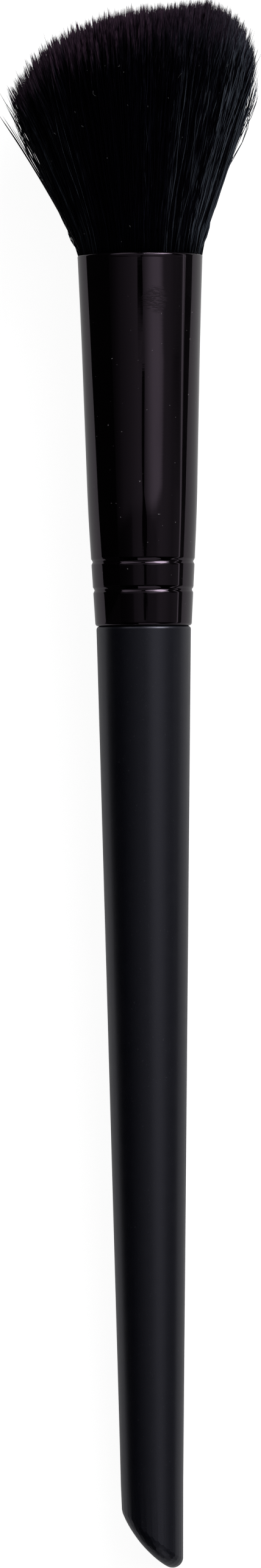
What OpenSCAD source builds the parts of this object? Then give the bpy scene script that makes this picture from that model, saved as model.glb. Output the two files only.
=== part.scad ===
// Contour brush: a round tapered handle with a slanted butt, a seamless metal
// ferrule crimped on with two ring grooves, and a dense tuft cut to a slanted dome.
// Every piece is drawn along its own axis, butt at 0, and lie() then lays the
// brush on its back, as it comes to rest: the tuft and the butt touch the floor.

/* [Handle] */
// Length of the handle from the tip of the butt to the ferrule
handle_len = 108.3; // [80:0.1:140]
// Radius of the handle near the butt
butt_r = 3.5; // [2.5:0.05:4.5]
// Height above the tip of the butt at which the handle has that radius
butt_r_height = 5; // [2:0.5:12]
// How far the handle's shoulder stands inside the ferrule's outside
shoulder_step = 0.1; // [0.05:0.01:0.3]
// Rounding of the shoulder under the ferrule
shoulder_round = 0.4; // [0.2:0.05:0.45]
// Length of the turned tenon that goes up into the ferrule
tenon_len = 14; // [10:0.5:18]
// Chamfer on the end of the tenon
tenon_chamfer = 0.8; // [0.3:0.1:1.5]

/* [Butt cut] */
// Height above the tip at which the slanted cut crosses the axis
cut_rise = 1.5; // [1:0.1:3]
// Slope of the cut where it crosses the axis, in degrees
cut_slope = 43; // [30:1:50]
// Radius of the bow of the cut face
cut_bow_r = 14.6; // [12:0.1:30]
// Rounding of the edge at the heel of the cut, its high side
heel_round = 2.2; // [1:0.1:2.4]
// Rounding of the edge at the tip of the cut, its low side
tip_round = 1.2; // [0.5:0.05:1.5]
// Height at which the plain taper of the handle takes over
butt_len = 10; // [9:0.5:14]

/* [Ferrule] */
// Length of the ferrule
ferrule_len = 42.7; // [34:0.1:55]
// Outside radius at the foot of the ferrule
ferrule_foot_r = 5.53; // [4.8:0.01:6.5]
// Outside radius where the swaged foot ends
swage_top_r = 6.25; // [5.6:0.01:7.2]
// Height of the swaged foot
swage_len = 13; // [10:0.5:18]
// Length over which the change of taper above the swage is rounded
swage_blend = 6; // [2:0.5:10]
// Outside radius that the taper has at the mouth, before the bell
mouth_r = 7.09; // [6.4:0.01:8.5]
// How far the bell of the mouth flares out
bell_out = 0.09; // [0.02:0.01:0.3]
// Length of the bell
bell_len = 4.7; // [3:0.1:8]
// Wall of the ferrule
wall = 0.45; // [0.35:0.05:0.6]
// Rounding of the foot, curled in towards the handle
curl_round = 0.35; // [0.15:0.05:0.4]
// Width of a crimped ring groove
groove_w = 0.75; // [0.5:0.05:1.2]
// Depth of a crimped ring groove
groove_depth = 0.16; // [0.08:0.01:0.3]
// Height of the lower groove above the foot
groove_height = 4.15; // [3:0.05:6]
// Distance between the two grooves
groove_pitch = 3.25; // [2:0.05:5]

/* [Tuft] */
// Depth to which the roots of the tuft go into the ferrule
root_depth = 15; // [10:0.5:20]
// Reach of the tuft to the side of its short hairs
head_left = 15.1; // [12:0.1:20]
// Reach of the tuft to the side of its long hairs
head_right = 14.2; // [12:0.1:20]
// Thickness of the tuft at its widest
head_thick = 21; // [18:0.5:26]
// Height above the mouth at which the short side turns over
rim_short = 16.4; // [13:0.1:22]
// Height above the mouth at which the long side turns over
rim_long = 21.4; // [17:0.1:28]
// Further height at which the front and the back turn over
face_rise = 4.4; // [0:0.1:6]
// Height of the dome over its rim
dome_rise = 9.6; // [7:0.1:14]
// Length of the pointed tip of a lock
tip_len = 2.6; // [1.5:0.1:3.5]
// Depth of the hollows between the locks
lock_depth = 0.5; // [0.1:0.05:0.8]
// How deep the resting tuft is pressed flat on its underside
rest_flat = 0.85; // [0.4:0.05:1.2]

/* [Glue] */
// Height of the glue plug at the roots
glue_len = 5; // [2:0.5:7]

/* [Fits] */
// Gap all round between the tenon and the ferrule
tenon_gap = 0.04; // [0.01:0.01:0.1]
// Gap all round between the roots or the glue and the ferrule
root_gap = 0.02; // [0.01:0.01:0.1]

/* [Hidden] */

// Facets of the turned pieces
turned_fn = 96;
// Spacing of the points along a turned profile
profile_step = 0.5;
// Points along a rounded edge
round_steps = 6;

mouth_z = handle_len + ferrule_len;
root_z = mouth_z - root_depth;
tenon_top_z = handle_len + tenon_len;

function mix(a, b, t) = a + (b - a) * t;

// Ferrule

// Radius of the plain body, with the change of taper rounded into one bow
swage_taper = (swage_top_r - ferrule_foot_r) / swage_len;
upper_taper = (mouth_r - swage_top_r) / (ferrule_len - swage_len);
function body_r(h) =
    let (past = h - swage_len, half = swage_blend / 2)
    past < -half ? swage_top_r + swage_taper * past
    : past > half ? swage_top_r + upper_taper * past
    : swage_top_r + mix(swage_taper, upper_taper, 0.5) * past
      - (swage_taper - upper_taper) * (past * past + half * half) / (2 * swage_blend);

function bell(h) =
    let (up = max(0, h - (ferrule_len - bell_len)) / bell_len)
    bell_out * up * up;

// A ring groove is a smooth dip of one cosine wave
function groove(h) =
    let (low = abs(h - groove_height), high = abs(h - groove_height - groove_pitch))
    let (off = min(low, high) / groove_w)
    off < 0.5 ? groove_depth * (1 + cos(360 * off)) / 2 : 0;

// Outside and inside of the pressed tube, at a height above its foot
function ferrule_out(h) = body_r(h) + bell(h) - groove(h);
function ferrule_in(h) = ferrule_out(h) - wall;

// Heights at which the profile is sampled: finer through the grooves
function groove_heights(centre) =
    [for (i = [-round_steps : round_steps]) centre + groove_w * i / (2 * round_steps)];
groove_foot = groove_height - groove_w / 2;
groove_head = groove_height + groove_pitch + groove_w / 2;
function tube_heights(from, to) = concat(
    from < groove_foot ? [from] : [],
    [for (h = groove_heights(groove_height)) if (h > from && h < to) h],
    [for (h = groove_heights(groove_height + groove_pitch)) if (h > from && h < to) h],
    [for (h = [max(from, groove_head + profile_step) : profile_step : to - profile_step / 2]) h],
    [to]
);

mouth_round = wall / 2;
curl_top = [for (i = [0 : round_steps])
    let (a = 90 * i / round_steps)
    [ferrule_out(curl_round) - curl_round * (1 - sin(a)), curl_round * (1 - cos(a))]];
mouth_mid = (ferrule_out(ferrule_len) + ferrule_in(ferrule_len)) / 2;
mouth_rim = [for (i = [0 : 2 * round_steps])
    let (a = 90 * i / round_steps)
    [mouth_mid + mouth_round * cos(a), ferrule_len - mouth_round + mouth_round * sin(a)]];
outer_side = [for (h = tube_heights(2 * curl_round, ferrule_len - 2 * mouth_round))
    [ferrule_out(h), h]];
inner_heights = tube_heights(0, ferrule_len - 2 * mouth_round);
inner_side = [for (i = [len(inner_heights) - 1 : -1 : 0])
    [ferrule_in(inner_heights[i]), inner_heights[i]]];

module ferrule() {
    color("#0d0c0e")
        lie()
            translate([0, 0, handle_len])
                rotate_extrude($fn = turned_fn)
                    polygon(concat(curl_top, outer_side, mouth_rim, inner_side));
}

// Handle

shoulder_r = ferrule_foot_r - shoulder_step;
handle_taper = (shoulder_r - butt_r) / (handle_len - butt_r_height);
function handle_r(z) = butt_r + handle_taper * (z - butt_r_height);

// The cut face is part of a wide cylinder, and the edge round it is rolled by
// balls that touch both the face and the taper, large at the heel, small at the tip
cut_centre = [cut_bow_r * sin(cut_slope), cut_rise + cut_bow_r * cos(cut_slope)];
edge_balls = 36;
ball_fn = 32;
function edge_round(a) = mix(tip_round, heel_round, (1 - cos(a)) / 2);
function on_cut(x, ball) =
    cut_centre[1] - sqrt(pow(cut_bow_r - ball, 2) - pow(cut_centre[0] - x, 2));
module edge_ball(a, reach) {
    ball = edge_round(a);
    out = (butt_r - ball) * reach;
    translate([out * cos(a), out * sin(a), on_cut(out * cos(a), ball)])
        sphere(r = ball, $fn = ball_fn);
}

module butt() {
    hull() {
        for (i = [0 : edge_balls - 1])
            edge_ball(360 * i / edge_balls, 1);
        for (i = [0 : edge_balls / 2 - 1])
            edge_ball(720 * i / edge_balls, 0.5);
        translate([0, 0, butt_len - profile_step])
            cylinder(r1 = handle_r(butt_len - profile_step), r2 = handle_r(butt_len),
                     h = profile_step, $fn = turned_fn);
    }
}

tenon_heights = tube_heights(0, tenon_len - tenon_chamfer);
function tenon_r(h) = ferrule_in(h) - tenon_gap;
shoulder_fillet = min(shoulder_round, shoulder_r - tenon_r(0));
shoulder_arc = [for (i = [0 : round_steps])
    let (a = 90 * i / round_steps)
    [shoulder_r - shoulder_fillet * (1 - cos(a)),
     handle_len - shoulder_fillet * (1 - sin(a))]];
tenon_side = [for (h = tenon_heights) if (h > 0) [tenon_r(h), handle_len + h]];
handle_profile = concat(
    [[0, butt_len], [handle_r(butt_len), butt_len]],
    shoulder_arc,
    [[tenon_r(0), handle_len]],
    tenon_side,
    [[tenon_r(tenon_len) - tenon_chamfer, tenon_top_z], [0, tenon_top_z]]
);

module handle() {
    color("#1a1b1e")
        lie()
            union() {
                butt();
                rotate_extrude($fn = turned_fn)
                    polygon(handle_profile);
            }
}

// Tuft

// A hair leaves the round mouth at the place (p, q) of a unit disc, p towards the
// long side and q towards the back, and runs straight to its own tip
tuft_r = ferrule_in(ferrule_len - mouth_round) - root_gap;
half_thick = head_thick / 2;
function tip_z(p, q) =
    let (out = min(1, norm([p, q])))
    mouth_z + mix(rim_short, rim_long, (1 + p) / 2) + face_rise * q * q
    + dome_rise * sqrt(1 - pow(out, 3));
function tip(p, q) = [
    p * (head_left + head_right) / 2 + p * p * (head_right - head_left) / 2,
    q * half_thick,
    tip_z(p, q)
];
// A point of that hair, t being 0 at the mouth and 1 at the tip
spread_power = 0.92;
function on_hair(p, q, t) =
    let (end = tip(p, q), spread = pow(t, spread_power))
    [mix(p * tuft_r, end[0], spread), mix(q * tuft_r, end[1], spread), mix(mouth_z, end[2], t)];
function hair_len(p, q) = norm(tip(p, q) - [p * tuft_r, q * tuft_r, mouth_z]);
function before_tip(p, q, length) = on_hair(p, q, 1 - length / hair_len(p, q));

// Lying at rest: the back of the tuft's rim and the end of the butt are on the floor
rim_back_z = tip_z(0, 1);
butt_touch_z = on_cut(0, edge_round(90));
lean = atan((half_thick - rest_flat - butt_r) / (rim_back_z - butt_touch_z));
axis_height = butt_r * cos(lean) - butt_touch_z * sin(lean);
function floor_y(z) = (axis_height + z * sin(lean)) / cos(lean);
overall_len = max([for (p = [0 : 0.05 : 1]) tip_z(p, 0)]);

module lie() {
    translate([(head_left - head_right) / 2, -overall_len * cos(lean) / 2, axis_height])
        rotate([lean - 90, 0, 0])
            children();
}

// Rings of points: up the roots, up the side of the tuft, and then over the dome,
// where each ring has as many points as the last or half as many
columns = 144;
root_rings = 5;
side_steps = [0, 0.07, 0.18, 0.32, 0.46, 0.6, 0.74, 0.88];
dome_rings = [
    [columns, 1], [columns, 0.985], [columns, 0.95], [columns, 0.9], [columns, 0.84],
    [columns, 0.77], [columns, 0.69], [columns / 2, 0.6], [columns / 2, 0.5],
    [columns / 2, 0.4], [columns / 4, 0.29], [columns / 8, 0.17], [columns / 16, 0.07]
];
lock_hollow = rands(0, 1, columns, 11);
fine_hollow = rands(-0.3, 0.3, columns * len(side_steps), 12);

function hollow_at(column, ring) =
    lock_depth * max(0, lock_hollow[column] + fine_hollow[ring * columns + column]) / half_thick;
function column_angle(i, count) = 360 * i / count;

function root_ring(k) =
    let (h = mix(ferrule_len - root_depth, ferrule_len - mouth_round, k / root_rings))
    [for (i = [0 : columns - 1])
        let (a = column_angle(i, columns), r = ferrule_in(h) - root_gap)
        [r * cos(a), r * sin(a), handle_len + h]];
function drawn_in(point, share) = [point[0] * (1 - share), point[1] * (1 - share), point[2]];
function side_ring(k) =
    let (t = side_steps[k])
    [for (i = [0 : columns - 1])
        let (a = column_angle(i, columns), p = cos(a), q = sin(a))
        drawn_in(on_hair(p, q, t * (1 - tip_len / hair_len(p, q))), t * hollow_at(i, k))];
// The hollows of the side run out over the edge of the dome
hollow_ends = [1, 0.7, 0.3];
function dome_ring(k) =
    let (count = dome_rings[k][0], skip = columns / count, out = dome_rings[k][1])
    [for (i = [0 : count - 1])
        let (a = column_angle(i, count), point = before_tip(out * cos(a), out * sin(a), tip_len))
        k < len(hollow_ends) ? drawn_in(point, hollow_ends[k] * hollow_at(i * skip, 0)) : point];

tuft_rings = concat(
    [for (k = [0 : root_rings - 1]) root_ring(k)],
    [for (k = [0 : len(side_steps) - 1]) side_ring(k)],
    [for (k = [0 : len(dome_rings) - 1]) dome_ring(k)]
);
first_dome = root_rings + len(side_steps);
ring_sizes = [for (ring = tuft_rings) len(ring)];
function sum_to(list, last, i = 0, sum = 0) =
    i >= last ? sum : sum_to(list, last, i + 1, sum + list[i]);
ring_starts = [for (k = [0 : len(tuft_rings)]) sum_to(ring_sizes, k)];

// Each cell between two rings of the dome carries one pointed lock
cell_counts = [for (k = [first_dome : len(tuft_rings) - 2]) ring_sizes[k + 1]];
cell_starts = [for (k = [0 : len(cell_counts)]) sum_to(cell_counts, k)];
lock_reach = rands(0.1, 1, cell_starts[len(cell_counts)], 13);
lock_lean = rands(-0.02, 0.02, 2 * cell_starts[len(cell_counts)], 14);
// On the pressed underside the locks are laid flat, and near it they are short
press_blend = 0.6;
function free_share(foot) = max(0, min(1, (floor_y(foot[2]) - foot[1]) / press_blend));
function lock_tip(k, i) =
    let (count = cell_counts[k], cell = cell_starts[k] + i)
    let (a = column_angle(i + 0.5, count), out = mix(dome_rings[k][1], dome_rings[k + 1][1], 0.5))
    let (free = free_share(before_tip(out * cos(a), out * sin(a), tip_len)))
    let (p = out * cos(a) + free * lock_lean[2 * cell],
         q = out * sin(a) + free * lock_lean[2 * cell + 1])
    before_tip(p, q, tip_len * (1 - free * lock_reach[cell]));
lock_tips = [for (k = [0 : len(cell_counts) - 1]) for (i = [0 : cell_counts[k] - 1]) lock_tip(k, i)];

first_lock = ring_starts[len(tuft_rings)];
crown_ring = len(tuft_rings) - 1;
crown_point = first_lock + len(lock_tips);
root_point = crown_point + 1;

function at(ring, i) = ring_starts[ring] + i % ring_sizes[ring];
function wall_faces(ring) = [for (i = [0 : columns - 1]) each [
    [at(ring, i), at(ring + 1, i), at(ring + 1, i + 1)],
    [at(ring, i), at(ring + 1, i + 1), at(ring, i + 1)]
]];
function cell_faces(k) =
    let (ring = first_dome + k, count = cell_counts[k], skip = ring_sizes[ring] / count)
    [for (i = [0 : count - 1])
        let (top = first_lock + cell_starts[k] + i)
        each concat(
            [for (j = [0 : skip - 1]) [at(ring, i * skip + j), top, at(ring, i * skip + j + 1)]],
            [
                [at(ring, i * skip), at(ring + 1, i), top],
                [at(ring + 1, i), at(ring + 1, i + 1), top],
                [at(ring + 1, i + 1), at(ring, i * skip + skip), top]
            ]
        )];
function fan_faces(ring, point, up) = [for (i = [0 : ring_sizes[ring] - 1])
    up ? [at(ring, i), point, at(ring, i + 1)] : [at(ring, i + 1), point, at(ring, i)]];

tuft_points = concat(
    [for (ring = tuft_rings) each ring],
    lock_tips,
    [before_tip(0, 0, 0), [0, 0, root_z]]
);
tuft_faces = concat(
    fan_faces(0, root_point, false),
    [for (ring = [0 : first_dome - 1]) each wall_faces(ring)],
    [for (k = [0 : len(cell_counts) - 1]) each cell_faces(k)],
    fan_faces(crown_ring, crown_point, true)
);

// The underside is pressed flat where it meets the floor
function pressed(point) = [point[0], min(point[1], floor_y(point[2])), point[2]];

module hair_bundle() {
    color("#131216")
        lie()
            polyhedron(points = [for (point = tuft_points) pressed(point)],
                       faces = tuft_faces, convexity = 6);
}

// Glue plug, set round the ends of the roots

plug_foot = ferrule_len - root_depth - glue_len;
plug_heights = [for (i = [0 : 8]) mix(plug_foot, ferrule_len - root_depth, i / 8)];
plug_profile = concat(
    [[0, plug_foot]],
    [for (h = plug_heights) [ferrule_in(h) - root_gap, h]],
    [[0, ferrule_len - root_depth]]
);

module root_glue() {
    color("#b89a58")
        lie()
            translate([0, 0, handle_len])
                rotate_extrude($fn = turned_fn)
                    polygon(plug_profile);
}

handle();
ferrule();
hair_bundle();
root_glue();
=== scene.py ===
"""The contour brush lying on a pale floor, seen from above as in the photograph."""

import math

import bpy
import numpy as np
from mathutils import Matrix, Vector, kdtree


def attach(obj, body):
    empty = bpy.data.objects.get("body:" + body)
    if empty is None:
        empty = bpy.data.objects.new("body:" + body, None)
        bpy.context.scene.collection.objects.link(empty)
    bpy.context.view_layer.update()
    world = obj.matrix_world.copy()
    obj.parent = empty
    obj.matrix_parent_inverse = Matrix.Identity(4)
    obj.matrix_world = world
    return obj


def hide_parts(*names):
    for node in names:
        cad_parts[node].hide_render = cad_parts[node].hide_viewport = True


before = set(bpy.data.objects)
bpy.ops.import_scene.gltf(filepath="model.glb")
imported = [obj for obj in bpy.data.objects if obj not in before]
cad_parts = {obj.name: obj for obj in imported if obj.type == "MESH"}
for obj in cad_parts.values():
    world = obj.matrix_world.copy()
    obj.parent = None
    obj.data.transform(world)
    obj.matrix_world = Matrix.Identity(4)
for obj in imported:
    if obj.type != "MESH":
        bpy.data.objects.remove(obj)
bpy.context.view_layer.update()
SCENE = bpy.context.scene
MM = 0.001

# Sizes of the brush in millimetres, along its own axis from the tip of the butt
HANDLE_LEN = 108.3
FERRULE_LEN = 42.7
MOUTH = HANDLE_LEN + FERRULE_LEN
BUTT_R = 3.5
# The slanted cut of the butt, and the mean rounding of its edge
CUT_RISE = 1.5
CUT_SLOPE = math.radians(43)
CUT_BOW_R = 14.6
EDGE_ROUND = 1.7
# The ferrule's tube: outside radii at its foot, where its taper changes and at its mouth
FOOT_R = 5.53
SWAGE_R = 6.25
MOUTH_R = 7.09
SWAGE_LEN = 13.0
SWAGE_BLEND = 6.0
BELL_LEN = 12.0
BELL_OUT = 0.09
WALL = 0.45
GROOVES = (4.15, 4.15 + 3.25)
GROOVE_WIDE = 0.75
GROOVE_DEEP = 0.16
FOOT_CURL = 0.35
RIM_OUTER_ROUND = 0.3
RIM_INNER_ROUND = 0.15
# The tuft: its reach to each side and half its thickness
HEAD_LEFT = 15.1
HEAD_RIGHT = 14.2
HALF_THICK = 10.5
# Height of its edge over the mouth at the short and the long side, and what is added to that
# on its wide faces and at the top of its dome
RIM_SHORT = 16.4
RIM_LONG = 21.4
FACE_RISE = 4.4
DOME_RISE = 9.6
# How much of its thickness is pressed flat where it rests
REST_FLAT = 0.85
HAIR_CLEARANCE = 0.02
# How far the brown of the tips reaches, on the short and on the long side; below it each hair
# darkens, partly as painted shade from the hairs around
TIP_ZONE_SHORT = 5.0
TIP_ZONE_LONG = 3.4
# The lowest that the middle of a hair may be over the floor
FLOOR_GAP = 0.07


def mix(a, b, t):
    """a where t is 0, b where t is 1, and even steps between."""
    return a + (b - a) * t


def smooth(t):
    """0 below 0, 1 above 1, and a soft step between."""
    t = np.clip(t, 0, 1)
    return t * t * (3 - 2 * t)


def tip_height(p, q):
    """Height along the brush at which the hair at (p, q) of a unit disc ends."""
    out = np.minimum(1, np.hypot(p, q))
    rim = MOUTH + mix(RIM_SHORT, RIM_LONG, (1 + p) / 2) + FACE_RISE * q * q
    return rim + DOME_RISE * np.sqrt(1 - out ** 3)


# How the brush lies: its axis leans up towards the tuft

BUTT_TOUCH = CUT_RISE + CUT_BOW_R * math.cos(CUT_SLOPE) - math.sqrt(
    (CUT_BOW_R - EDGE_ROUND) ** 2 - (CUT_BOW_R * math.sin(CUT_SLOPE)) ** 2)
LEAN = math.atan((HALF_THICK - REST_FLAT - BUTT_R) / (tip_height(0, 1) - BUTT_TOUCH))
AXIS_HEIGHT = BUTT_R * math.cos(LEAN) - BUTT_TOUCH * math.sin(LEAN)
OVERALL_LEN = tip_height(np.linspace(0, 1, 21), 0).max()
LYING = (
    Matrix.Translation((
        (HEAD_LEFT - HEAD_RIGHT) / 2 * MM,
        -OVERALL_LEN * math.cos(LEAN) / 2 * MM,
        AXIS_HEIGHT * MM,
    ))
    @ Matrix.Rotation(LEAN - math.pi / 2, 4, "X")
    @ Matrix.Scale(MM, 4)
)
LYING_ROWS = np.array(LYING)


def above_floor(points):
    """Points of the brush, with those too near the floor lifted off it."""
    floor = (AXIS_HEIGHT + points[..., 2] * math.sin(LEAN)) / math.cos(LEAN)
    points[..., 1] = np.minimum(points[..., 1], floor - FLOOR_GAP)
    return points


def laid(points):
    """Points in the brush's own millimetres, turned into the row frame's metres."""
    return points @ LYING_ROWS[:3, :3].T + LYING_ROWS[:3, 3]


# Mesh helpers

def add_piece(name, mesh, material, node):
    """A piece with this mesh, which rides on the part and stands for a CAD node."""
    mesh.materials.append(material)
    piece = bpy.data.objects.new(name, mesh)
    SCENE.collection.objects.link(piece)
    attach(piece, "root")
    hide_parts(node)


def smooth_mesh(name, points, faces):
    """A smoothly shaded mesh from points in the brush's millimetres."""
    mesh = bpy.data.meshes.new(name)
    mesh.from_pydata(laid(np.asarray(points, float)).tolist(), [], faces)
    mesh.polygons.foreach_set("use_smooth", [True] * len(mesh.polygons))
    mesh.update()
    return mesh


def band(low, high, columns):
    """The faces between two rings of points, given by their numbers."""
    faces = []
    for i in range(columns):
        j = (i + 1) % columns
        faces.append((low * columns + i, low * columns + j,
                      high * columns + j, high * columns + i))
    return faces


def lathe(profile, columns):
    """Points and faces of a closed profile of (radius, height) turned round the axis."""
    points = []
    for radius, height in profile:
        for i in range(columns):
            a = 2 * math.pi * i / columns
            points.append((radius * math.cos(a), radius * math.sin(a), height))
    faces = []
    for row in range(len(profile)):
        faces += band(row, (row + 1) % len(profile), columns)
    return points, faces


# Materials

def feed(tree, socket, value):
    """Gives a socket a plain value, or a link from another socket."""
    if isinstance(value, bpy.types.NodeSocket):
        tree.links.new(value, socket)
    else:
        socket.default_value = value


def math_node(tree, operation, *values):
    node = tree.nodes.new("ShaderNodeMath")
    node.operation = operation
    for socket, value in zip(node.inputs, values):
        feed(tree, socket, value)
    return node.outputs[0]


def mix_node(tree, factor, a, b, blend="MIX"):
    node = tree.nodes.new("ShaderNodeMix")
    node.data_type = "RGBA"
    node.blend_type = blend
    for name, value in (("Factor", factor), ("A", a), ("B", b)):
        feed(tree, node.inputs[name], value)
    return node.outputs["Result"]


def principled(name, colour, roughness):
    """A new material with its shader's own values set, and its node tree."""
    material = bpy.data.materials.new(name)
    material.use_nodes = True
    shader = material.node_tree.nodes["Principled BSDF"]
    shader.inputs["Base Color"].default_value = (*colour, 1)
    shader.inputs["Roughness"].default_value = roughness
    return material, material.node_tree, shader


def noise(tree, scale, detail, stretch=(1, 1, 1)):
    """A noise texture in the object's own coordinates, stretched along an axis."""
    where = tree.nodes.new("ShaderNodeTexCoord")
    mapping = tree.nodes.new("ShaderNodeMapping")
    mapping.inputs["Scale"].default_value = stretch
    texture = tree.nodes.new("ShaderNodeTexNoise")
    texture.inputs["Scale"].default_value = scale
    texture.inputs["Detail"].default_value = detail
    tree.links.new(where.outputs["Object"], mapping.inputs["Vector"])
    tree.links.new(mapping.outputs["Vector"], texture.inputs["Vector"])
    return texture.outputs["Fac"]


def ramp(tree, source, stops):
    """A colour ramp with (position, colour) stops."""
    node = tree.nodes.new("ShaderNodeValToRGB")
    elements = node.color_ramp.elements
    while len(elements) < len(stops):
        elements.new(0.5)
    for element, (position, colour) in zip(elements, stops):
        element.position = position
        element.color = (*colour, 1)
    tree.links.new(source, node.inputs["Fac"])
    return node.outputs["Color"]


def to_range(tree, source, result, given=(0, 1)):
    """The given range of a source, mapped to the range of the result and cut off there."""
    node = tree.nodes.new("ShaderNodeMapRange")
    node.inputs["From Min"].default_value, node.inputs["From Max"].default_value = given
    node.inputs["To Min"].default_value, node.inputs["To Max"].default_value = result
    tree.links.new(source, node.inputs["Value"])
    return node.outputs["Result"]


def tint(tree, shader, source, stops):
    """The base colour follows a source through a ramp."""
    tree.links.new(ramp(tree, source, stops), shader.inputs["Base Color"])


def bump(tree, shader, source, strength, distance):
    """A bump from a height, on top of any bump that the shader has."""
    node = tree.nodes.new("ShaderNodeBump")
    node.inputs["Strength"].default_value = strength
    node.inputs["Distance"].default_value = distance
    tree.links.new(source, node.inputs["Height"])
    under = shader.inputs["Normal"].links
    if under:
        tree.links.new(under[0].from_socket, node.inputs["Normal"])
    tree.links.new(node.outputs["Normal"], shader.inputs["Normal"])


def near(tree, place, inner, outer):
    """1 within a distance of a place on the part, in metres, and 0 beyond another."""
    where = tree.nodes.new("ShaderNodeTexCoord")
    gap = tree.nodes.new("ShaderNodeVectorMath")
    gap.operation = "DISTANCE"
    gap.inputs[1].default_value = place
    tree.links.new(where.outputs["Object"], gap.inputs[0])
    return to_range(tree, gap.outputs["Value"], (1, 0), given=(inner, outer))


def gloss_black():
    """Gloss black lacquer on metal: a mirror finish with faint wipe marks."""
    black = (0.0006, 0.0004, 0.0006)
    material, tree, shader = principled("gloss_black_metal", black, 0.06)
    shader.inputs["Specular Tint"].default_value = (0.98, 0.76, 1, 1)
    specks = noise(tree, 3700, 0)
    tint(tree, shader, specks, [(0.0, black), (0.855, black), (0.885, (0.12, 0.11, 0.12))])
    # A rubbed patch on the front, a little below the mouth: its place in mm, and in metres how
    # far it is whole and how far it reaches
    rubbed_at, whole, reach = (1.7, -6.7, 145.6), 0.0006, 0.0017
    patch = near(tree, laid(np.array(rubbed_at)), whole, reach)
    rubs = to_range(tree, noise(tree, 5200, 3, (0.3, 1, 0.3)), (0, 1), given=(0.45, 0.62))
    strokes = math_node(tree, "MULTIPLY", patch, rubs)
    wipes = to_range(tree, noise(tree, 900, 3, (1, 0.15, 1)), (0.03, 0.09), given=(0.35, 0.75))
    rough = math_node(tree, "MULTIPLY_ADD", strokes, 0.45, wipes)
    tree.links.new(rough, shader.inputs["Roughness"])
    bump(tree, shader, noise(tree, 260, 2), strength=0.05, distance=0.00002)
    # Fine rings left by the spinning of the tube
    rings = noise(tree, 3600, 2, (0.1, 1, 0.1))
    bump(tree, shader, rings, strength=0.1, distance=0.000004)
    bump(tree, shader, strokes, strength=0.3, distance=0.00001)
    return material


def soft_touch():
    """Matte soft-touch lacquer, very finely grained, with specks of dust in it."""
    material, tree, shader = principled("soft_touch_lacquer", (0.0006, 0.0009, 0.0028), 0.4)
    shader.inputs["Specular IOR Level"].default_value = 0.65
    shader.inputs["Specular Tint"].default_value = (0.84, 0.83, 1, 1)
    specks = noise(tree, 5200, 0)
    tint(tree, shader, specks, [
        (0.0, (0.0004, 0.0007, 0.0024)),
        (0.8, (0.0007, 0.0010, 0.0032)),
        (0.84, (0.016, 0.016, 0.02)),
    ])
    worn = to_range(tree, noise(tree, 700, 3), (0.31, 0.39))
    tree.links.new(worn, shader.inputs["Roughness"])
    bump(tree, shader, noise(tree, 9000, 3), strength=0.18, distance=0.00003)
    return material


def epoxy():
    """Amber epoxy, slightly cloudy."""
    material, tree, shader = principled("epoxy", (0.45, 0.3, 0.1), 0.25)
    clouds = noise(tree, 600, 2)
    tint(tree, shader, clouds, [(0.3, (0.38, 0.24, 0.07)), (0.7, (0.52, 0.36, 0.14))])
    return material


def fibre():
    """Black synthetic fibre, brown at the tips and a little different from hair to hair, with
    painted shade where the brown fades and a painted bluish sheen on the hair below.
    """
    material, tree, shader = principled("black_fibre", (0.002, 0.002, 0.0025), 0.34)
    shader.inputs["Specular IOR Level"].default_value = 0.05
    shader.inputs["Specular Tint"].default_value = (0.85, 0.78, 1, 1)
    mark = tree.nodes.new("ShaderNodeAttribute")
    mark.attribute_name = "strand"
    parts = tree.nodes.new("ShaderNodeSeparateColor")
    tree.links.new(mark.outputs["Color"], parts.inputs["Color"])
    # Red is how near the tip, green is the painted sheen, and blue is the hair's own tone
    tip_share, light, tone = [parts.outputs[name] for name in ("Red", "Green", "Blue")]
    # The painted sheen comes in patches along the hairs, and turns their own near-black into a
    # painted bluish highlight
    sheen_patches = to_range(tree, noise(tree, 1700, 1, (1, 0.14, 1)), (0.6, 1.35), given=(0.3, 0.7))
    stem_and_sheen = ramp(tree, math_node(tree, "MULTIPLY", light, sheen_patches), [
        (0.0, (0.0004, 0.0002, 0.0011)),
        (0.2, (0.0034, 0.0033, 0.0068)),
        (1.0, (0.0720, 0.0850, 0.1080)),
    ])
    flecks = to_range(tree, noise(tree, 3400, 1, (1, 0.45, 1)), (0.05, 1.9), given=(0.3, 0.7))
    tip = ramp(tree, math_node(tree, "MULTIPLY", tone, flecks), [
        (0.1, (0.0140, 0.0066, 0.0140)),
        (0.9, (0.0760, 0.0420, 0.0700)),
    ])
    shade = mix_node(tree, to_range(tree, tip_share, (0, 1), given=(0.15, 1)), stem_and_sheen, tip)
    tree.links.new(shade, shader.inputs["Base Color"])
    tree.links.new(to_range(tree, tone, (0.5, 0.26)), shader.inputs["Roughness"])
    return material


def tuft_painted_shade():
    """Painted shade for the depth between the hairs: near-black, faintly streaked along them."""
    material, tree, shader = principled("tuft_painted_shade", (0.0005, 0.0003, 0.001), 0.9)
    streaks = noise(tree, 1700, 1, (1, 0.14, 1))
    tint(tree, shader, streaks, [(0.3, (0.0003, 0.0002, 0.0007)), (0.7, (0.0007, 0.0004, 0.0013))])
    return material


def dust():
    """Pale grey lint."""
    material, tree, shader = principled("lint", (0.15, 0.15, 0.16), 0.9)
    fluff = noise(tree, 1500, 1)
    tint(tree, shader, fluff, [(0.3, (0.05, 0.05, 0.055)), (0.7, (0.22, 0.22, 0.23))])
    return material


# Ferrule

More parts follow.
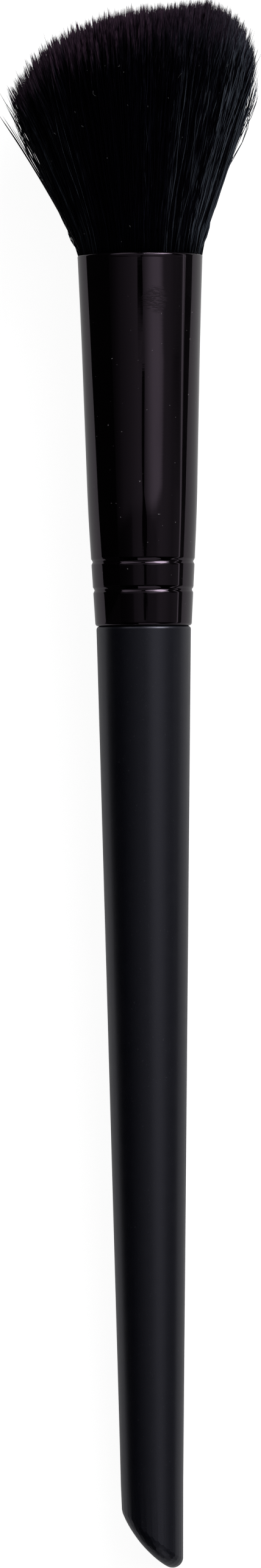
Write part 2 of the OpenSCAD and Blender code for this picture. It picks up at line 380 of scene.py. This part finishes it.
def ferrule_out(h):
    """Outside radius of the pressed tube at a height above its foot."""
    low = (SWAGE_R - FOOT_R) / SWAGE_LEN
    high = (MOUTH_R - SWAGE_R) / (FERRULE_LEN - SWAGE_LEN)
    past = h - SWAGE_LEN
    if past < -SWAGE_BLEND / 2:
        r = SWAGE_R + low * past
    elif past > SWAGE_BLEND / 2:
        r = SWAGE_R + high * past
    else:
        bend = (low - high) * (past ** 2 + SWAGE_BLEND ** 2 / 4) / (2 * SWAGE_BLEND)
        r = SWAGE_R + (low + high) / 2 * past - bend
    r += BELL_OUT * (max(0, h - (FERRULE_LEN - BELL_LEN)) / BELL_LEN) ** 1.5
    for centre in GROOVES:
        off = abs(h - centre) / GROOVE_WIDE
        if off < 0.5:
            r -= GROOVE_DEEP * (1 + math.cos(2 * math.pi * off)) / 2
    return r


def make_ferrule(material):
    """The tube from its curled-in foot up the outside, over the rim and down the inside."""
    steps, ring_step, columns = 8, 0.12, 160
    quarter = [math.pi / 2 * i / steps for i in range(steps + 1)]
    foot = [(ferrule_out(FOOT_CURL) - FOOT_CURL * (1 - math.sin(a)), FOOT_CURL * (1 - math.cos(a)))
            for a in quarter]
    middle = ferrule_out(FERRULE_LEN) - RIM_OUTER_ROUND
    rim = [(middle + RIM_OUTER_ROUND * math.cos(a),
            FERRULE_LEN - RIM_OUTER_ROUND * (1 - math.sin(a))) for a in quarter]
    rim += [(middle - RIM_INNER_ROUND * math.sin(a),
             FERRULE_LEN - RIM_INNER_ROUND * (1 - math.cos(a))) for a in quarter[1:]]
    heights = np.arange(2 * FOOT_CURL, FERRULE_LEN - WALL, ring_step)
    outer = [(ferrule_out(h), h) for h in heights]
    inner = [(ferrule_out(h) - WALL, h) for h in heights[::-4]]
    profile = [(r, h + HANDLE_LEN) for r, h in foot + outer + rim + inner]
    mesh = smooth_mesh("ferrule_tube", *lathe(profile, columns))
    add_piece("ferrule_tube", mesh, material, "ferrule")


# Tuft

RNG = np.random.default_rng(5)
TUFT_R = ferrule_out(FERRULE_LEN) - WALL - HAIR_CLEARANCE


def tips(p, q):
    """Where the hairs that leave the mouth at (p, q) of a unit disc end."""
    x = p * (HEAD_LEFT + HEAD_RIGHT) / 2 + p * p * (HEAD_RIGHT - HEAD_LEFT) / 2
    return np.stack([x, q * HALF_THICK, tip_height(p, q)], -1)


def roots(p, q):
    return np.stack([p * TUFT_R, q * TUFT_R, np.full_like(p, MOUTH)], -1)


def hair_length(p, q):
    return np.linalg.norm(tips(p, q) - roots(p, q), axis=-1)


def hair_points(p, q, before):
    """Points of hairs (n) at rows of distances before their tips (n, k)."""
    root, end = roots(p, q)[:, None, :], tips(p, q)[:, None, :]
    t = (1 - before / hair_length(p, q)[:, None])[..., None]
    # Below the mouth a hair goes straight down
    flat = mix(root[..., :2], end[..., :2], np.maximum(t, 0))
    return np.concatenate([flat, mix(root[..., 2:], end[..., 2:], t)], -1)


def unit(vectors):
    return vectors / (np.linalg.norm(vectors, axis=-1, keepdims=True) + 1e-12)


def add_strands(name, paths, radii, marks, material):
    """Tapered three-sided tubes along paths (n, k, 3) with radii (n, k), each closed in a point."""
    count, rings = paths.shape[:2]
    along = unit(np.gradient(paths, axis=1))
    side = unit(np.cross(along, np.array([0.31, 0.95, 0.02])))
    other = np.cross(along, side)
    turn = RNG.uniform(0, 2 * math.pi, count)[:, None, None]
    corners = []
    for corner in range(3):
        a = turn + 2 * math.pi * corner / 3
        corners.append(paths + radii[..., None] * (np.cos(a) * side + np.sin(a) * other))
    tube = np.stack(corners, 2)[:, :-1]
    tube_marks = np.repeat(marks[:, :-1, None, :], 3, axis=2)
    points = np.concatenate([tube.reshape(count, -1, 3), paths[:, -1:, :]], 1)
    point_marks = np.concatenate([tube_marks.reshape(count, -1, 4), marks[:, -1:, :]], 1)
    # The faces of one strand: its sides, its closed root and its pointed tip
    each = points.shape[1]
    quads = [face for ring in range(rings - 2) for face in band(ring, ring + 1, 3)]
    last = 3 * (rings - 2)
    tip = [(last + corner, last + (corner + 1) % 3, each - 1) for corner in range(3)]
    triangles = [(2, 1, 0)] + tip
    starts = np.arange(count)[:, None, None] * each
    loops = np.concatenate([(starts + np.array(faces)[None]).reshape(-1)
                            for faces in (quads, triangles)])
    sizes = np.repeat([4, 3], [count * len(quads), count * len(triangles)])
    loop_starts = np.concatenate([[0], np.cumsum(sizes)[:-1]])
    mesh = bpy.data.meshes.new(name)
    mesh.vertices.add(count * each)
    mesh.vertices.foreach_set("co", laid(points.reshape(-1, 3)).astype(np.float32).ravel())
    mesh.loops.add(len(loops))
    mesh.loops.foreach_set("vertex_index", loops.astype(np.int32))
    mesh.polygons.add(len(sizes))
    mesh.polygons.foreach_set("loop_start", loop_starts.astype(np.int32))
    mesh.polygons.foreach_set("use_smooth", np.ones(len(sizes), bool))
    mesh.update(calc_edges=True)
    colours = mesh.attributes.new("strand", "FLOAT_COLOR", "POINT")
    colours.data.foreach_set("color", point_marks.reshape(-1).astype(np.float32))
    add_piece(name, mesh, material, "hair_bundle")


def disc(count, low, high):
    """Evenly spread places in a ring of the unit disc, in a sunflower pattern with jitter."""
    i = np.arange(count) + 0.5
    out = np.sqrt(mix(low ** 2, high ** 2, i / count))
    out = np.clip(out + RNG.normal(0, 0.012, count), 0, 1)
    turn = i * math.pi * (3 - math.sqrt(5)) + RNG.normal(0, 0.02, count)
    return out * np.cos(turn), out * np.sin(turn)


def tree_of(p, q):
    """A tree of the tips of the hairs at (p, q), as seen along the brush."""
    tree = kdtree.KDTree(len(p))
    for index, spot in enumerate(tips(p, q)):
        tree.insert(Vector((spot[0], spot[1], 0)), index)
    tree.balance()
    return tree


def nearest_of(tree, p, q):
    """For each place in the unit disc, the nearest point of a tree of tips, and how far it is."""
    found = [tree.find(Vector((x, y, 0))) for x, y, _ in tips(p, q)]
    return np.array([hit[1] for hit in found]), np.array([hit[2] for hit in found])


# The hairs gather in fine clumps, and at the edge the clumps gather in locks. A cut is how far
# before the dome a hair ends, in mm
LOCKS = 330
LOCK_P, LOCK_Q = disc(LOCKS, 0, 1)
LOCK_EDGE = smooth((np.hypot(LOCK_P, LOCK_Q) - 0.8) / 0.2) * mix(0.3, 1, smooth(-LOCK_P / 0.7))
LOCK_CUT = RNG.uniform(-0.2, 0.2, LOCKS) + LOCK_EDGE * RNG.uniform(-1.6, 1.7, LOCKS)
CLUMPS = 2000
CLUMP_P, CLUMP_Q = disc(CLUMPS, 0, 1)
LOCK_OF, _ = nearest_of(tree_of(LOCK_P, LOCK_Q), CLUMP_P, CLUMP_Q)
GATHER = 0.12 + 0.4 * LOCK_EDGE[LOCK_OF]
CLUMP_P = mix(CLUMP_P, LOCK_P[LOCK_OF], GATHER)
CLUMP_Q = mix(CLUMP_Q, LOCK_Q[LOCK_OF], GATHER)
CLUMP_CUT = LOCK_CUT[LOCK_OF] + RNG.uniform(0.0, 1.1, CLUMPS) - 0.4 * smooth(0.3 - CLUMP_P)
CLUMP_CUT -= (RNG.random(CLUMPS) < 0.05) * RNG.exponential(0.25, CLUMPS)
# The corner over the long side is fuller than the dome
CLUMP_CUT -= 0.9 * smooth((CLUMP_P - 0.2) / 0.4) * smooth((0.98 - CLUMP_P) / 0.25)
CLUMP_TONE = RNG.uniform(0, 1, CLUMPS)
# Locks of the rim splay outwards by different amounts
CLUMP_SPLAY = (RNG.uniform(-0.5, 0.8, LOCKS) * LOCK_EDGE)[LOCK_OF]
CLUMP_TREE = tree_of(CLUMP_P, CLUMP_Q)


def marks_of(p, q, before, tone):
    """What the material reads: how near the tip, how much painted sheen the hair gets, and its own
    tone.

    The painted sheen is strongest on the long side, and next at the edge of the short side."""
    marks = np.ones(before.shape + (4,))
    # The brown of the tips is the fibre's own; its fade over a length that differs from hair to
    # hair is partly painted shade from neighbouring hairs
    zone = mix(TIP_ZONE_SHORT, TIP_ZONE_LONG, smooth((1 + p) / 2)) * RNG.uniform(0.4, 1.6, len(p))
    zone *= mix(1, 0.5, smooth((np.hypot(p, q) - 0.8) / 0.2))
    marks[..., 0] = smooth(1 - before / zone[:, None]) * mix(1, 0.5, smooth(p / 0.7))[:, None]
    # Painted sheen, as if lit from the long side: most there, some at the edge of the short side,
    # and a little less near the tips
    painted_sheen_share = mix(0.1, 0.6, smooth(p + 0.35))
    painted_sheen_share += 0.5 * smooth((-p - 0.4) / 0.4) + 1.1 * smooth((p - 0.6) / 0.3)
    marks[..., 1] = (tone ** 2.3 * painted_sheen_share)[:, None] * mix(0.75, 1, smooth((before - 2) / 6))
    marks[..., 2] = tone[:, None]
    return marks


def hairs(count, low, high, rings, reach, thick):
    """Paths, radii and marks of many hairs, gathered into pointed clumps at their tips.

    They grow in a ring of the disc from low to high, and each is made for the last part of
    its length only, which is its reach."""
    # How far before its tip a hair bends into its clump, splays with its lock, and thins
    clump_reach, splay_reach, taper_len = 4.5, 6, 3.2
    p, q = disc(count, low, high)
    clump, apart = nearest_of(CLUMP_TREE, p, q)
    tall = (RNG.random(count) < 0.03) * RNG.uniform(0, 0.5, count)
    cut = CLUMP_CUT[clump] + 2.6 * apart + RNG.uniform(0, 0.4, count) - tall
    length = hair_length(p, q)
    start = np.minimum(reach, length + 1.5)
    before = start[:, None] + (cut - start)[:, None] * np.linspace(0, 1, rings) ** 0.8
    path = hair_points(p, q, before)
    guide = hair_points(CLUMP_P[clump], CLUMP_Q[clump], before)
    pull = 0.92 * smooth(1 - (before - cut[:, None]) / clump_reach)
    path += (guide - path) * pull[..., None] * np.array([1, 1, 0.3])
    splay = CLUMP_SPLAY[clump][:, None] * smooth(1 - before / splay_reach)
    path[..., :2] += splay[..., None] * np.stack([p, q], 1)[:, None, :]
    # Each hair waves a little, to the sides and in and out
    phase = RNG.uniform(0, 2 * math.pi, (count, 2))
    wave = RNG.uniform(0.02, 0.24, (count, 2)) * mix(0.5, 1, smooth(p + 0.5))[:, None]
    for axis, longest in ((0, 2.6), (1, 2.2)):
        turn = before / RNG.uniform(0.9, longest, count)[:, None] + phase[:, axis, None]
        path[..., axis] += wave[:, axis, None] * np.sin(turn)
    # A few hairs leave the others and stand out a little
    loose = (RNG.random(count) < 0.05) * RNG.exponential(0.3, count)
    away = np.clip(1 - before / length[:, None], 0, 1) ** 3 * loose[:, None]
    heading = RNG.normal(0, 0.6, (count, 2)) + np.stack([p, q], 1) * 1.2
    path[..., :2] += away[..., None] * heading[:, None, :]
    taper = smooth((before - cut[:, None]) / taper_len) * 0.72 + 0.28
    taper[:, -1] = 0.02
    radii = thick * RNG.uniform(0.75, 1.2, count)[:, None] * taper
    tone = mix(CLUMP_TONE[clump], RNG.uniform(0, 1, count), 0.92)
    return above_floor(path), radii, marks_of(p, q, before, tone)


def stray_hairs():
    """Long hairs that have come away from the sides, curled ones, and some that bow out."""
    rings, thick, tip_thick = 14, 0.045, 0.01
    rows = []

    def stray(p, q, cut, out, curl=0.0, bow=0.0, bow_from=0.0):
        rows.append((p, q, cut, out, curl, bow, bow_from))

    draw = RNG.uniform
    for i in range(12):
        stray(-0.99, mix(-0.35, 0.2, i / 11), draw(-0.4, 4.5), draw(0.5, 1.5))
    for i in range(16):
        stray(0.99, mix(-0.5, 0.3, i / 15), draw(1, 8), draw(0.3, 1.0), curl=draw(-0.6, 0.6))
    for i in range(12):
        stray(0.99 if i < 8 else -0.99, draw(-0.4, 0.2), draw(2, 9), draw(0, 0.2),
              bow=draw(0.2, 0.5))
    for i in range(9):
        stray(0.99, draw(-0.3, 0.2), draw(1, 5), draw(0, 0.2),
              bow=draw(0.5, 1.0), bow_from=draw(0.45, 0.65))
    for i in range(16):
        a = draw(0, 2 * math.pi)
        stray(0.97 * math.cos(a), 0.97 * math.sin(a), draw(0, 10), draw(0.1, 0.5),
              curl=draw(-0.4, 0.4))
    p, q, cut, out, curl, bow, bow_from = np.array(rows).T
    length = hair_length(p, q)
    before = length[:, None] + (cut - length)[:, None] * np.linspace(0, 1, rings) ** 1.2
    path = hair_points(p, q, before)
    up = 1 - before / length[:, None]
    bow_share = np.where(bow_from > 0, 0.35, 0.2)[:, None]
    bowed = np.sin(math.pi * np.clip((up - bow_from[:, None]) / bow_share, 0, 1))
    path[..., 0] += p[:, None] * (out[:, None] * up ** 2.2 + bow[:, None] * bowed)
    path[..., 0] += curl[:, None] * np.sin(6 * up) * up
    path[..., 1] += 0.4 * curl[:, None] * np.sin(5 * up + 1)
    radii = np.full(path.shape[:2], thick)
    radii[:, -1] = tip_thick
    return above_floor(path), radii, marks_of(p, q, before, RNG.uniform(0.3, 1, len(p)))


def lint():
    """Specks of dust and short pale fibres caught in the front and the back of the tuft."""
    count, rings, thick, tip_thick, lift = 34, 6, 0.016, 0.008, 0.12
    side = np.where(np.arange(count) % 3, -1, 1)
    p = RNG.uniform(-0.9, 0.9, count)
    q = side * np.sqrt(1 - p ** 2)
    length = hair_length(p, q)
    up = RNG.uniform(0.05, 0.97, count)
    middle = hair_points(p, q, (length * (1 - up))[:, None])
    outward = np.stack([0.4 * p, q, np.zeros(count)], -1)[:, None]
    size = RNG.exponential(0.08, count) + 0.04
    turn = RNG.normal(0, 0.9, count)
    step = np.linspace(-1, 1, rings)[None, :, None]
    heading = np.stack([np.sin(turn), np.zeros(count), np.cos(turn)], -1)[:, None]
    bend = np.stack([np.cos(turn), np.zeros(count), -np.sin(turn)], -1)[:, None]
    curl = (RNG.normal(0, 0.7, count) * size)[:, None, None]
    path = middle + outward * lift + heading * step * size[:, None, None] + bend * curl * step ** 2
    radii = np.full((count, rings), thick)
    radii[:, -1] = tip_thick
    return above_floor(path), radii, np.ones((count, rings, 4))


def make_core(material):
    """The inside of the tuft, which closes the gaps between the hairs and carries their painted
    shade.
    """
    columns, share = 64, 0.88
    # How far out, and how far up a hair, each ring of the core is
    rings = [(1, t) for t in (-0.1, 0, 0.15, 0.3, 0.45, 0.58)]
    rings += [(0.97, 0.66), (0.9, 0.71), (0.78, 0.75), (0.6, 0.78), (0.38, 0.8), (0.14, 0.81)]
    turn = 2 * math.pi * np.arange(columns) / columns
    points, faces = [], []
    for out, up in rings:
        p, q = share * out * np.cos(turn), share * out * np.sin(turn)
        before = (hair_length(p, q) * (1 - up))[:, None]
        points.extend(above_floor(hair_points(p, q, before))[:, 0])
    for row in range(len(rings) - 1):
        faces += band(row, row + 1, columns)
    faces.append(tuple(range(columns))[::-1])
    faces.append(tuple(range((len(rings) - 1) * columns, len(rings) * columns)))
    mesh = smooth_mesh("tuft_core", points, faces)
    add_piece("tuft_core", mesh, material, "hair_bundle")


def make_tuft(material, core_shade_material):
    """The core with its painted shade, layers of hair from the outside in, and what is loose in
    them.
    """
    make_core(core_shade_material)
    outer = [(3600, 0.945, 0.985), (3000, 0.89, 0.945), (2400, 0.84, 0.89)]
    for layer, (count, low, high) in enumerate(outer, 1):
        strands = hairs(count, low, high, rings=9, reach=40, thick=0.048)
        add_strands(f"hair_outer_{layer}", *strands, material)
    inner = [(8000, 0.55, 0.84), (7000, 0.0, 0.55)]
    for layer, (count, low, high) in enumerate(inner, 1):
        strands = hairs(count, low, high, rings=5, reach=9, thick=0.06)
        add_strands(f"hair_inner_{layer}", *strands, material)
    add_strands("hair_stray", *stray_hairs(), material)
    add_strands("hair_lint", *lint(), dust())


# Floor, light and camera

FLOOR_SIZE = 60
# How brightly the floor glows to the camera, and in a mirror
GLOW_SEEN = 0.93
GLOW_MIRRORED = 0.33
# The studio overhead: brightness by degrees from straight up, with plus to the right. LAMP is
# the large lamp over the tuft's end, and ROOM is what is beyond its edge, towards the butt
LAMP = [
    (-90, 0.01), (-62, 0.02), (-53, 0.05), (-46, 0.08), (-40, 0.115), (-33, 0.14), (-19, 0.2),
    (-6, 0.27), (6, 0.26), (12.5, 0.52), (19, 0.8), (25, 0.98), (34, 1), (41, 0.85), (48, 0.5),
    (55, 0.28), (61, 0.16), (66, 0.07), (73, 0.03), (81, 0.07), (90, 0.2),
]
ROOM = [
    (-90, 0.01), (-53, 0.017), (-41, 0.025), (-29, 0.045), (-24, 0.06), (-21, 0.13), (-6, 0.19),
    (1, 0.19), (7, 0.12), (29, 0.157), (35, 0.24), (41, 0.266), (53, 0.232), (67, 0.157),
    (81, 0.19), (90, 0.2),
]
# Where the lamp's edge is along the brush, and how much sooner it comes at its right corner
LAMP_EDGE = (-0.098, -0.079)
LAMP_CORNER = [(-90, 0), (20, 0), (29, 0.008), (41, 0.033), (50, 0.07), (90, 0.07)]
# Brightness towards the ends of the brush, by direction along it from 0 to 1
ENDS = [(0.36, 0), (0.43, 1), (0.775, 1), (0.875, 0.1)]
# How much of the sky near the horizon is white, by height
HORIZON = [(0.03, 1), (0.07, 0)]
# The two low cards: place along the brush, distance to the side and height there, in mm
BLACK_CARD = [
    (-130, -34, 33), (12, -34, 33), (16, -52, 47), (30, -42, 40), (48, -31, 31), (58, -28.5, 29),
    (130, -28.5, 29),
]
GREY_CARD = [(-130, 55, 11), (30, 55, 11), (56, 35, 11.5), (130, 35, 11.5)]
# The slim black stand overhead, in two parts with a gap between: its place along the brush and
# its left and right edge there, in mm
STAND_HEIGHT = 316
STAND = [
    [(40.5, -26, 21), (36, -29, 25), (33.6, -33, 21)],
    [(31, 13, 37), (28, 6, 35), (18, -3, 26), (11, 4, 21), (4, 0, 38), (0, -4, 50), (-11, -6, 52),
     (-11.5, 11, 39), (-17.5, 13, 41), (-18, 0, 60), (-20, 0, 54), (-20.5, 8, 31), (-26, 8, 31)],
]


def stage_piece(name, corners, faces, material):
    """A piece of the studio, which isn't part of the object."""
    mesh = bpy.data.meshes.new(name)
    mesh.from_pydata(corners, [], faces)
    mesh.materials.append(material)
    piece = bpy.data.objects.new(name, mesh)
    SCENE.collection.objects.link(piece)
    return piece


def make_floor():
    """White to the camera, paler grey in a mirror, and grey paper to the light."""
    material, tree, shader = principled("floor_paper", (0.25, 0.25, 0.25), 0.9)
    shader.inputs["Specular IOR Level"].default_value = 0
    shader.inputs["Emission Color"].default_value = (1, 1, 1, 1)
    ray = tree.nodes.new("ShaderNodeLightPath").outputs
    seen = math_node(tree, "MULTIPLY", ray["Is Camera Ray"], GLOW_SEEN)
    by_mirror = math_node(tree, "MAXIMUM", ray["Is Glossy Ray"], ray["Is Transmission Ray"])
    mirrored = math_node(tree, "MULTIPLY", by_mirror, GLOW_MIRRORED)
    glow = math_node(tree, "MAXIMUM", seen, mirrored)
    tree.links.new(glow, shader.inputs["Emission Strength"])
    far = FLOOR_SIZE / 2
    corners = [(-far, -far, 0), (far, -far, 0), (far, far, 0), (-far, far, 0)]
    stage_piece("floor", corners, [(0, 1, 2, 3)], material)


def area_light(name, place, aim, size, radiance):
    """A rectangular lamp of a given brightness, as seen in a mirror."""
    data = bpy.data.lights.new(name, "AREA")
    data.shape = "RECTANGLE"
    data.size, data.size_y = size
    data.energy = radiance * math.pi * size[0] * size[1]
    lamp = bpy.data.objects.new(name, data)
    lamp.location = place
    lamp.rotation_mode = "QUATERNION"
    lamp.rotation_quaternion = (Vector(aim) - Vector(place)).to_track_quat("-Z", "Y")
    lamp.visible_camera = False
    SCENE.collection.objects.link(lamp)


def make_world():
    """A soft lamp and its surroundings, the same all along the brush up to its ends."""
    world = bpy.data.worlds.new("studio")
    SCENE.world = world
    world.use_nodes = True
    tree = world.node_tree

    def grey_ramp(source, stops):
        return ramp(tree, source, [(place, (level,) * 3) for place, level in stops])

    where = tree.nodes.new("ShaderNodeTexCoord")
    parts = tree.nodes.new("ShaderNodeSeparateXYZ")
    tree.links.new(where.outputs["Generated"], parts.inputs["Vector"])
    x, y, z = [parts.outputs[name] for name in "XYZ"]
    angle = math_node(tree, "ARCTAN2", x, z)
    across = to_range(tree, angle, (0, 1), given=(-math.pi / 2, math.pi / 2))
    lamp, room, corner = [
        grey_ramp(across, [((degrees + 90) / 180, level) for degrees, level in levels])
        for levels in (LAMP, ROOM, LAMP_CORNER)
    ]
    before_edge = math_node(tree, "SUBTRACT", y, corner)
    overhead = mix_node(tree, to_range(tree, before_edge, (0, 1), given=LAMP_EDGE), room, lamp)
    ends = grey_ramp(to_range(tree, y, (0, 1), given=(-1, 1)), ENDS)
    dimmed = mix_node(tree, 1, overhead, ends, blend="MULTIPLY")
    sky = mix_node(tree, grey_ramp(z, HORIZON), dimmed, (1, 1, 1, 1))
    tree.links.new(sky, tree.nodes["Background"].inputs["Color"])


def mirrored_only(name, corners, faces, level):
    """A grey piece of the studio, with corners in mm, which only the gloss shows."""
    metres = [tuple(side * MM for side in corner) for corner in corners]
    piece = stage_piece(name, metres, faces, principled(name, (level,) * 3, 1)[0])
    piece.visible_camera = False
    piece.visible_diffuse = False
    piece.visible_shadow = False


def strip_faces(first, rows):
    """The faces of a strip whose rows are two corners each."""
    starts = range(first, first + 2 * rows - 2, 2)
    return [(start, start + 1, start + 3, start + 2) for start in starts]


def make_card(name, plan, level):
    """A low standing card to one side, bent as the plan says."""
    corners = [(x, y, z) for y, x, height in plan for z in (0, height)]
    mirrored_only(name, corners, strip_faces(0, len(plan)), level)


def make_stand():
    corners, faces = [], []
    for part in STAND:
        faces += strip_faces(len(corners), len(part))
        corners += [(x, y, STAND_HEIGHT) for y, *edges in part for x in edges]
    mirrored_only("stand", corners, faces, 0.004)


def make_light():
    make_world()
    make_card("black_card", BLACK_CARD, 0.004)
    make_card("grey_card", GREY_CARD, 0.25)
    make_stand()
    middle = (0, 0, 0.01)
    area_light("head_end", (0.55, 1.0, 0.72), aim=middle, size=(0.9, 0.5), radiance=6.0)
    area_light("head_left", (-0.6, 1.0, 0.5), aim=(0, 0.07, 0.01), size=(1.0, 1.0), radiance=1.0)
    area_light("butt_end", (0.25, -1.1, 0.8), aim=middle, size=(1.0, 1.0), radiance=0.5)
    area_light("right_side", (0.7, 0.75, 0.62), aim=(0, 0.05, 0.01), size=(0.5, 0.5), radiance=7.0)


# The photograph's long side in its own pixels, at 0.07 mm each
PHOTO_LONG_SIDE = 2576
PIXEL = 0.07
# The camera: its distance, its roll, and the place on the brush that it looks at, in mm
SENSOR = 36
CAMERA_FAR = 1250
CAMERA_ROLL = math.radians(0.5605)
AIM_HEIGHT = 90.146
AIM_SIDE = -1.683


def make_camera():
    """Square to the brush's axis, rolled a little as the photograph is."""
    data = bpy.data.cameras.new("camera")
    data.sensor_width = SENSOR
    data.lens = SENSOR * CAMERA_FAR / (PHOTO_LONG_SIDE * PIXEL)
    data.clip_start, data.clip_end = 0.05, 100
    camera = bpy.data.objects.new("camera", data)
    turn = LYING.to_3x3().normalized()
    right = Vector((math.cos(CAMERA_ROLL), 0, -math.sin(CAMERA_ROLL)))
    up = Vector((math.sin(CAMERA_ROLL), 0, math.cos(CAMERA_ROLL)))
    back = Vector((0, -1, 0))
    axes = Matrix([turn @ right, turn @ up, turn @ back]).transposed()
    place = LYING @ Vector((AIM_SIDE, -CAMERA_FAR, AIM_HEIGHT))
    camera.matrix_world = Matrix.Translation(place) @ axes.to_4x4()
    SCENE.collection.objects.link(camera)
    SCENE.camera = camera


def finish_cad_node(node, material):
    """A CAD node keeps its shape and gets a better material."""
    for mesh_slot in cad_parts[node].material_slots:
        mesh_slot.material = material


make_camera()
make_floor()
make_light()
finish_cad_node("handle", soft_touch())
finish_cad_node("root_glue", epoxy())
make_ferrule(gloss_black())
make_tuft(fibre(), tuft_painted_shade())

SCENE.view_settings.view_transform = "Standard"
